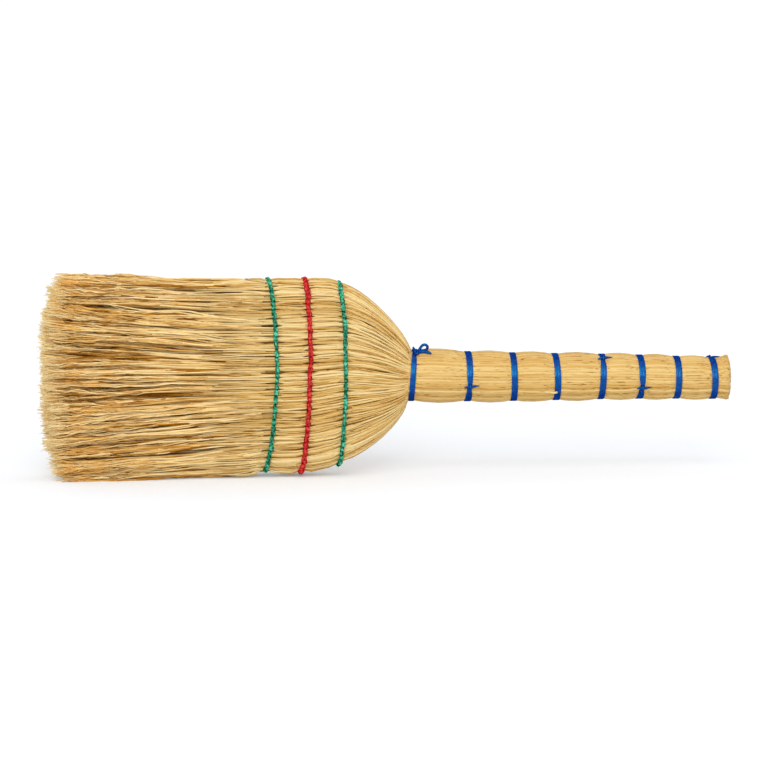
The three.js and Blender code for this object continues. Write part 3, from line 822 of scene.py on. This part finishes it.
def bristle_stems(random, low, high):
    """Stems between two shares of the height: points, radii, tones and where their tips may end."""
    clumps = CLUMP_ROWS * CLUMP_COLUMNS
    twigs = clumps * TWIGS_PER_CLUMP
    count = clumps * STEMS_PER_CLUMP
    rows, columns = np.divmod(np.arange(clumps), CLUMP_COLUMNS)
    row_size = (high - low) / CLUMP_ROWS
    column_size = 2 / CLUMP_COLUMNS
    clump_rise = low + row_size * (rows + random.uniform(*CLUMP_RISES, clumps))
    clump_aside = column_size * (columns + random.uniform(*CLUMP_ASIDES, clumps)) - 1
    clump = np.repeat(np.arange(clumps), STEMS_PER_CLUMP)
    twig = clump * TWIGS_PER_CLUMP + random.integers(0, TWIGS_PER_CLUMP, count)
    along = np.linspace(0, 1, STEM_STEPS)
    hold = np.ones((clumps, STEM_STEPS))
    for _ in range(GATHERS_PER_CLUMP):
        gather = random.uniform(*GATHER_SIZES, (clumps, 1))
        gather_at = random.uniform(*GATHER_PLACES, (clumps, 1))
        gather_run = random.uniform(*GATHER_RUNS, (clumps, 1))
        hold *= 1 - gather * np.exp(-((along - gather_at) / gather_run) ** 2)
    hold = hold[clump]
    gathered = np.clip((along - GATHER_FROM) / (GATHER_BY - GATHER_FROM), 0, 1)
    twig_rise = random.normal(0, TWIG_SPREAD * row_size, twigs)
    twig_aside = random.normal(0, TWIG_SPREAD * column_size, twigs)
    root_rise = low + row_size * (rows[clump] + random.random(count))[:, None]
    rise = (twig_rise[twig] + random.normal(0, STEM_SPREAD * row_size, count))[:, None] * hold
    rise = root_rise + (clump_rise[clump][:, None] + rise - root_rise) * gathered
    aloft = np.clip(2 * rise - 1, -RISE_LIMIT, RISE_LIMIT)
    rise = 0.5 + aloft / 2 * (1 - FAN_OUT * (1 - aloft ** 2) * (1 - along))
    root_aside = column_size * (columns[clump] + random.random(count))[:, None] - 1
    aside = (twig_aside[twig] + random.normal(0, STEM_SPREAD * column_size, count))[:, None] * hold
    aside = root_aside + (clump_aside[clump][:, None] + aside - root_aside) * gathered
    aside = np.clip(aside, -ASIDE_LIMIT, ASIDE_LIMIT)
    room = (1 - np.abs(2 * rise - 1) ** ROOM_POWER) ** (1 / ROOM_POWER)
    half = np.interp(along, [0, 1], [HEAD_HALF_THICKNESS - ROOT_INSET, TIP_HALF_THICKNESS - TIP_INSET])
    top_heights = [head_top - ROOT_INSET, head_top, tip_top - TOP_SAG, tip_top]
    top = np.interp(along, TOP_STATIONS, top_heights)
    foot = np.interp(along, FOOT_STATIONS, FOOT_HEIGHTS)
    swing = along ** SWING_POWER
    paths = np.empty((count, STEM_STEPS, 3))
    paths[:, :, 1] = aside * room * half
    paths[:, :, 2] = foot + rise * (top - foot)
    for axis in (1, 2):
        paths[:, :, axis] += swing * wander(random, clumps, along, *CLUMP_WAVE)[clump]
        paths[:, :, axis] += swing * wander(random, twigs, along, *TWIG_WAVE)[twig]
        paths[:, :, axis] += swing * wander(random, count, along, *STEM_WAVE)
        stray = np.where(random.random(count) < STRAY_SHARE, STRAY_SPREAD, TIP_SPREAD)
        paths[:, :, axis] += (stray * random.normal(0, 1, count))[:, None] * along ** STRAY_POWER
    start = row_x[2] - random.uniform(*STEM_STARTS, count)
    arch = np.where(rise[:, -1] < 0.5, *TIP_ARCHES) * (2 * rise[:, -1] - 1) ** ARCH_POWER
    tips = tip_x + TIP_TRIM + arch
    tips += CLUMP_RAGGED * random.random(clumps)[clump] + TWIG_RAGGED * random.random(twigs)[twig]
    ragged = np.where(random.random(count) < SHORT_SHARE, SHORT_RAGGED, TIP_RAGGED)
    end = tips + ragged * random.random(count) ** RAGGED_POWER
    paths[:, :, 0] = start[:, None] + (end - start)[:, None] * along
    radii = random.uniform(*STEM_RADII, (count, 1)) * np.interp(along, *STEM_TAPER)
    paths[:, :, 1] = np.clip(paths[:, :, 1], -SIDE_REACH, SIDE_REACH)
    paths[:, :, 2] = np.clip(paths[:, :, 2], radii, top + TOP_MARGIN)
    # Stems inside the head get a darker tone: painted shade.
    outer = np.maximum(np.abs(aside), np.abs(2 * rise - 1)).max(axis=1)
    shade = SHADE_DEPTH * np.clip((SHADE_FROM - outer) / SHADE_RUN, 0, 1)
    tone = random.normal(STEM_TONE, CLUMP_TONE_SPREAD, clumps)[clump]
    tone += random.normal(0, TONE_SPREAD, count) - shade
    tone -= DARK_DEPTH * (random.random(count) < DARK_SHARE)
    return paths, radii, tone, tips


def bristle_branches(random, stems, tones, tips):
    """Fine, kinked branches, each of which leaves a stem on its way and reaches the tips."""
    count = len(stems) * BRANCHES_PER_CLUMP // STEMS_PER_CLUMP
    parent = random.integers(0, len(stems), count)
    leave = random.uniform(*BRANCH_LEAVES, (count, 1))
    part = np.linspace(0, 1, BRANCH_STEPS)
    place = (leave + (1 - leave) * part) * (STEM_STEPS - 1)
    step = np.minimum(place.astype(int), STEM_STEPS - 2)
    share = (place - step)[:, :, None]
    stem = parent[:, None]
    paths = stems[stem, step] * (1 - share) + stems[stem, step + 1] * share
    first = paths[:, :1, 0]
    end = tips[parent] + TIP_RAGGED * random.random(count) ** RAGGED_POWER
    end -= np.where(random.random(count) < STRAY_SHARE, STRAY_REACH, 0) * random.random(count)
    travelled = (end[:, None] - first) * part
    paths[:, :, 0] = first + travelled
    for axis in (1, 2):
        paths[:, :, axis] += part ** KINK_POWER * wander(random, count, travelled, *KINK_WAVE)
        paths[:, :, axis] += random.normal(0, BRANCH_SPREAD, (count, 1)) * part ** BRANCH_POWER
    radii = random.uniform(*BRANCH_RADII, (count, 1)) * np.interp(part, *BRANCH_TAPER)
    paths[:, :, 1] = np.clip(paths[:, :, 1], -SIDE_REACH, SIDE_REACH)
    paths[:, :, 2] = np.clip(paths[:, :, 2], radii, tip_top + TOP_MARGIN)
    # Branches keep their stem's tone, painted shade included, down to half the usual tone.
    tone = np.maximum(tones[parent], STEM_TONE / 2) + random.normal(0, TONE_SPREAD, count)
    tone -= DARK_DEPTH * (random.random(count) < DARK_SHARE)
    return paths, radii, tone


for index, node in enumerate(BRISTLE_NODES):
    bristle_random = np.random.default_rng(40 + index)
    blocks = len(BRISTLE_NODES)
    low, high = index / blocks, (index + 1) / blocks
    stems, stem_radii, stem_tones, tips = bristle_stems(bristle_random, low, high)
    branches, branch_radii, branch_tones = bristle_branches(bristle_random, stems, stem_tones, tips)
    bristle_shape = joined([
        straw_mesh("stems", stems, stem_radii, np.clip(stem_tones, 0, 1), sides=4),
        straw_mesh("branches", branches, branch_radii, np.clip(branch_tones, 0, 1), sides=4),
    ])
    add_piece(f"{node}_straw", bristle_shape, [bristle_material], "bristle_straw", node)


# Ties
# Each tie is two turns of glossy blue twine, pulled flat side by side into a waist of the handle.
# All but the neck tie, which has a bow, are knotted once, with two short ends.
TWINE_WIDTH = 0.0032
TWINE_THICKNESS = 0.0014
TWINE_FLATNESS = 0.14
TWINE_PITCHES = [0.0016] + 7 * [0.0023]
TIE_SEAT = 0.0004
TIE_STEPS = 160
TIE_SIDES = 16
KNOT_TURNS = [0.07, 0.295, 0.6, 0.62, 0.085, 0.31, 0.64, -0.08]
KNOT_LEANS = [1, 1, 1, 1, 1, 1, 1, -9]
TIE_LEANS = [0.0, 0.0008, 0.0, 0.0008, 0.0004, 0.0016, 0.0011, 0.0014]
TIE_SLANTS = [0.0, 0.0002, -0.0003, -0.0004, 0.0008, 0.0004, 0.0003, -0.0002]
KNOT_CROSSING = 0.34
CROSSING_DRAW = 0.55
KNOT_STRAND = 0.00105
KNOT_TAIL = [
    (-0.0048, 0.05, 0.0), (-0.0032, 0.02, 0.0006), (-0.0011, 0.0, 0.0015), (0.0011, 0.0, 0.0015),
    (0.0032, -0.02, 0.0006), (0.0058, -0.04, 0.0), (0.0082, -0.05, -0.0002),
]
KNOT_STEPS = 40
KNOT_TAPER = ([0, 12, 26, 39], [0.3, 1, 1, 0.25])
KNOT_SIDES = 8
KNOT_RING = 0.0014
RING_STEPS = 25
RING_SLANT = 0.0004
RING_RISE = 0.0014
RING_FLATNESS = 0.75
BLUE_TONES = ("072f78", "0b3988", "114594")
BLUE_SHINE = (0.05, 0.5, 0.85, 1.0)
SHEEN_EDGES = (0.02, 0.32)
TWINE_GRAIN = 420.0
TWINE_DETAIL = 3.0
TWINE_PATCHES = (0.35, 0.65)


def twine_finish(name, tones, roughness, shine, gloss):
    """Smooth glossy twine or waxed thread, whose shine takes a tint from the dyed fibres."""
    material = bpy.data.materials.new(name)
    material.use_nodes = True
    tree = material.node_tree
    shader = tree.nodes["Principled BSDF"]
    place = tree.nodes.new("ShaderNodeTexCoord")
    noise = tree.nodes.new("ShaderNodeTexNoise")
    noise.inputs["Scale"].default_value = TWINE_GRAIN
    noise.inputs["Detail"].default_value = TWINE_DETAIL
    tree.links.new(place.outputs["Object"], noise.inputs["Vector"])
    ramp = palette(tree, tones)
    tree.links.new(map_range(tree, noise.outputs["Fac"], TWINE_PATCHES), ramp.inputs["Fac"])
    tree.links.new(ramp.outputs["Color"], shader.inputs["Base Color"])
    shader.inputs["Roughness"].default_value = roughness
    facing = tree.nodes.new("ShaderNodeLayerWeight")
    sheen = map_range(tree, facing.outputs["Facing"], SHEEN_EDGES, (gloss, 0.0))
    tree.links.new(sheen, shader.inputs["Specular IOR Level"])
    shader.inputs["Specular Tint"].default_value = shine
    return material


blue_material = twine_finish("blue_twine", BLUE_TONES, roughness=0.22, shine=BLUE_SHINE, gloss=1.0)


def smooth_path(points, steps):
    """Points along a smooth curve through a few points."""
    points = np.array(points)
    padded = np.vstack((2 * points[0] - points[1], points, 2 * points[-1] - points[-2]))
    place = np.linspace(0, len(points) - 1, steps)
    first = np.minimum(place.astype(int), len(points) - 2)
    part = (place - first)[:, None]
    a, b, c, d = (padded[first + offset] for offset in range(4))
    bend = 2 * a - 5 * b + 4 * c - d
    twist = 3 * (b - c) + d - a
    return b + part * (c - a) / 2 + part ** 2 * bend / 2 + part ** 3 * twist / 2


def cord_mesh(name, path, radius, sides):
    """A closed cord along one row of points."""
    radii = np.broadcast_to(radius, len(path))
    return straw_mesh(name, np.array([path]), np.array([radii]), np.array([0.5]), sides)


def aslant(tie, turn):
    """Shift along the handle of a tie that sits aslant, at a turn from the top towards the front."""
    angle = 2 * math.pi * turn
    return TIE_LEANS[tie] * math.sin(angle) + TIE_SLANTS[tie] * math.cos(angle)


def tie_turns(tie):
    """The two flat turns of a tie, which cross at its knot."""
    x = tie_x[tie]
    turns = np.linspace(0, 2, TIE_STEPS)
    radius = section(x)[2] + TIE_SEAT
    near = np.abs(turns - np.round(turns)) * 2 * math.pi
    close = 1 - CROSSING_DRAW * np.exp(-(near / KNOT_CROSSING) ** 2)
    side = np.clip((turns - 1) * 2 * math.pi / KNOT_CROSSING, -1, 1)
    path = [
        handle_point(x + aslant(tie, turn) + TWINE_PITCHES[tie] / 2 * shift, turn, radius)
        for turn, shift in zip(KNOT_TURNS[tie] + turns, side * close)
    ]
    mesh = cord_mesh("turns", np.array(path), TWINE_WIDTH / 2, TIE_SIDES)
    shape = bmesh.new()
    shape.from_mesh(mesh)
    axis = axis_height(x)
    for vertex in shape.verts:
        reach = math.hypot(vertex.co.y, vertex.co.z - axis)
        outward = (reach - radius) / (TWINE_WIDTH / 2)
        pressed = radius + TWINE_THICKNESS / 2 * math.copysign(abs(outward) ** TWINE_FLATNESS, outward)
        vertex.co.y *= pressed / reach
        vertex.co.z = axis + (vertex.co.z - axis) * pressed / reach
    shape.to_mesh(mesh)
    shape.free()
    return mesh


def knot(tie):
    """A tie's knot: the ends leave along the handle through a small ring of twine."""
    knot_turn = KNOT_TURNS[tie]
    x = tie_x[tie] + aslant(tie, knot_turn)
    seat = section(x)[2] + TIE_SEAT
    tail = smooth_path([
        handle_point(
            x + along,
            knot_turn + KNOT_LEANS[tie] * round_by / (2 * math.pi),
            section(x + along)[2] + TIE_SEAT + rise,
        )
        for along, round_by, rise in KNOT_TAIL
    ], KNOT_STEPS)
    ends = np.interp(np.arange(KNOT_STEPS), *KNOT_TAPER)
    ring = [
        handle_point(
            x + RING_SLANT * math.sin(angle),
            knot_turn + KNOT_RING * math.cos(angle) / (2 * math.pi * seat),
            seat + RING_RISE + KNOT_RING * RING_FLATNESS * math.sin(angle),
        )
        for angle in np.linspace(0, 2 * math.pi, RING_STEPS)
    ]
    return [
        cord_mesh("tail", tail, KNOT_STRAND * ends, KNOT_SIDES),
        cord_mesh("ring", np.array(ring), KNOT_STRAND, KNOT_SIDES),
    ]


for tie, name in enumerate(TIE_NAMES):
    knotted = [] if name == "neck_tie" else knot(tie)
    tie_shape = joined([tie_turns(tie), *knotted])
    add_piece(f"{name}_twine", tie_shape, [blue_material], "blue_twine", name)


# Bow of the neck tie
# The ends of the neck tie are tied in a small bow on top of the handle: one loop and a tail towards
# the handle, and a short tail over the fan.
BOW_CORD = 0.0025
BOW_SIDES = 10
BOW_ROUTE = [
    (0.0182, 30, -0.0003), (0.0141, 26, 0.0), (0.0096, 23, 0.0002), (0.0053, 28, 0.0003),
    (0.0048, 26, 0.0), (0.007, 18, 0.0006), (0.0096, 15, 0.0038), (0.0122, 15, 0.0046),
    (0.0144, 15, 0.003), (0.014, 15, 0.0003), (0.0114, 18, -0.0001), (0.0078, 20, -0.0001),
    (0.0048, 26, 0.0006),
]
BOW_TAIL = [(0.0052, 27, 0.0004), (0.0039, 20, 0.0004), (0.0026, 15, 0.0016), (0.0018, 12, 0.003)]
BOW_KNOT = [
    (0.0033, 28, 0.0008), (0.0043, 23, 0.0016), (0.0059, 26, 0.0018),
    (0.0057, 32, 0.0012), (0.0037, 31, 0.0008),
]


def bow_cord(route, steps, thin):
    """Cord over the handle past the neck: distance from the neck, degrees round and rise."""
    path = smooth_path([
        handle_point(neck_x + along, degrees / 360, section(neck_x + along)[2] + BOW_CORD / 2 + rise)
        for along, degrees, rise in route
    ], steps)
    return cord_mesh("bow", path, BOW_CORD / 2 * np.interp(np.arange(steps), *thin), BOW_SIDES)


bow_shape = joined([
    bow_cord(BOW_ROUTE, steps=120, thin=([0, 6, 119], [0.5, 1, 1])),
    bow_cord(BOW_TAIL, steps=30, thin=([0, 22, 29], [1, 0.9, 0.5])),
    bow_cord(BOW_KNOT, steps=40, thin=([0, 39], [1, 1])),
])
add_piece("neck_bow_twine", bow_shape, [blue_material], "blue_twine", "neck_bow")


# Stitching
# One waxed two-ply thread is sewn round the head in each row, green, red and green. It lies on the
# groups of straw and dips into the notches between them.
STITCH_STEPS = 9
STITCH_SLANT = 0.0005
STITCH_LEAN = 0.0008
STITCH_DIP = 0.004
DIP_SHARPNESS = 10
THREAD_DEPTH = 0.0005
TOP_DEPTH = 0.0018
PLY_RADII = [0.0014, 0.0017, 0.0014]
PLY_OFFSET = 0.0006
PLY_TWIST = 0.0146
PLY_SIDES = 6
END_SWELL = 0.25
END_SWELL_RUN = 0.04
END_GAP = 0.0006
KNOTTED_ROW = 1
END_KNOT_SHARE = 0.075
END_KNOT_SIZE = 0.0019
END_KNOT_PITCH = 0.0022
END_KNOT_TURNS = 2
END_KNOT_STEPS = 40
THREAD_TONES = {
    "green_thread": ("04261a", "107a56", "5cc8a4"),
    "red_thread": ("7a0a10", "bd1c20", "de4c46"),
}
THREAD_SHINES = {
    "green_thread": (0.4, 0.95, 0.75, 1.0),
    "red_thread": (1.0, 0.25, 0.25, 1.0),
}
thread_materials = {
    slot: twine_finish(slot, tones, roughness=0.42, shine=THREAD_SHINES[slot], gloss=0.8)
    for slot, tones in THREAD_TONES.items()
}


def stitched_row(row):
    """The two plies of a row's thread, down the front of the head and up its back."""
    x = row_x[row]
    y, z, out_y, out_z, run = half_outline(x)
    share = np.linspace(0, 1 - END_GAP / run[-1], GROUPS_PER_HALF * STITCH_STEPS)
    place = share * run[-1]
    stitch = stitch_count(share, row)
    sunk = THREAD_DEPTH + STITCH_DIP * np.cos(math.pi * stitch) ** DIP_SHARPNESS
    sunk += EDGE_PULLS[row] * np.exp(-(share / EDGE_PULL_SHARE) ** 2)
    sunk += TOP_DEPTH * np.exp(-((1 - share) / TOP_SHARE) ** 2)
    kinks = np.random.default_rng(60 + row).uniform(-STITCH_SLANT, STITCH_SLANT, NOTCH_LIMIT)
    slant = np.interp(stitch, np.arange(len(kinks)), kinks)
    slant += STITCH_LEAN * (stitch - np.floor(stitch + 0.5))
    outward_y = np.interp(place, run, out_y)
    outward_z = np.interp(place, run, out_z)
    across = np.interp(place, run, y) - sunk * outward_y
    height = np.interp(place, run, z) - sunk * outward_z
    rise = 2 * (height - z[0]) / (z[-1] - z[0]) - 1
    along = x + row_bow[row] * (1 - rise ** 2) + ROW_TILTS[row] * rise + slant
    half = np.column_stack((along, across, height))
    outward = np.column_stack((0 * along, outward_y, outward_z))
    mirror = np.array([1, FRONT, 1])
    path = np.vstack((half[::-1] * mirror, half[1:]))
    outward = np.vstack((outward[::-1] * mirror, outward[1:]))
    ahead = np.gradient(path, axis=0)
    travelled = np.cumsum(np.linalg.norm(ahead, axis=1))
    ahead /= np.linalg.norm(ahead, axis=1)[:, None]
    sideways = np.cross(ahead, outward)
    swell = 1 + END_SWELL * np.exp(-(np.minimum(place, run[-1] - place) / END_SWELL_RUN) ** 2)
    radius = PLY_RADII[row] * np.concatenate((swell[::-1], swell[1:]))
    plies = []
    for start in (0, math.pi):
        twist = (start + 2 * math.pi * travelled / PLY_TWIST)[:, None]
        ply = path + PLY_OFFSET * (np.cos(twist) * outward + np.sin(twist) * sideways)
        ply[:, 2] = np.maximum(ply[:, 2], radius)
        plies.append(cord_mesh("ply", ply, radius, PLY_SIDES))
    if row == KNOTTED_ROW:
        step = np.argmin(np.abs(share[::-1] - END_KNOT_SHARE))
        turn = np.linspace(0, 2 * math.pi * END_KNOT_TURNS, END_KNOT_STEPS)[:, None]
        ring = np.cos(turn) * outward[step] + np.sin(turn) * sideways[step]
        climb = END_KNOT_PITCH * (turn / turn[-1] - 0.5)
        coil = path[step] + END_KNOT_SIZE * ring + climb * ahead[step]
        plies.append(cord_mesh("knot", coil, KNOT_STRAND, KNOT_SIDES))
    return joined(plies)


for row, name in enumerate(ROW_NAMES):
    slot = "red_thread" if "red" in name else "green_thread"
    add_piece(f"{name}_thread", stitched_row(row), [thread_materials[slot]], slot, name)
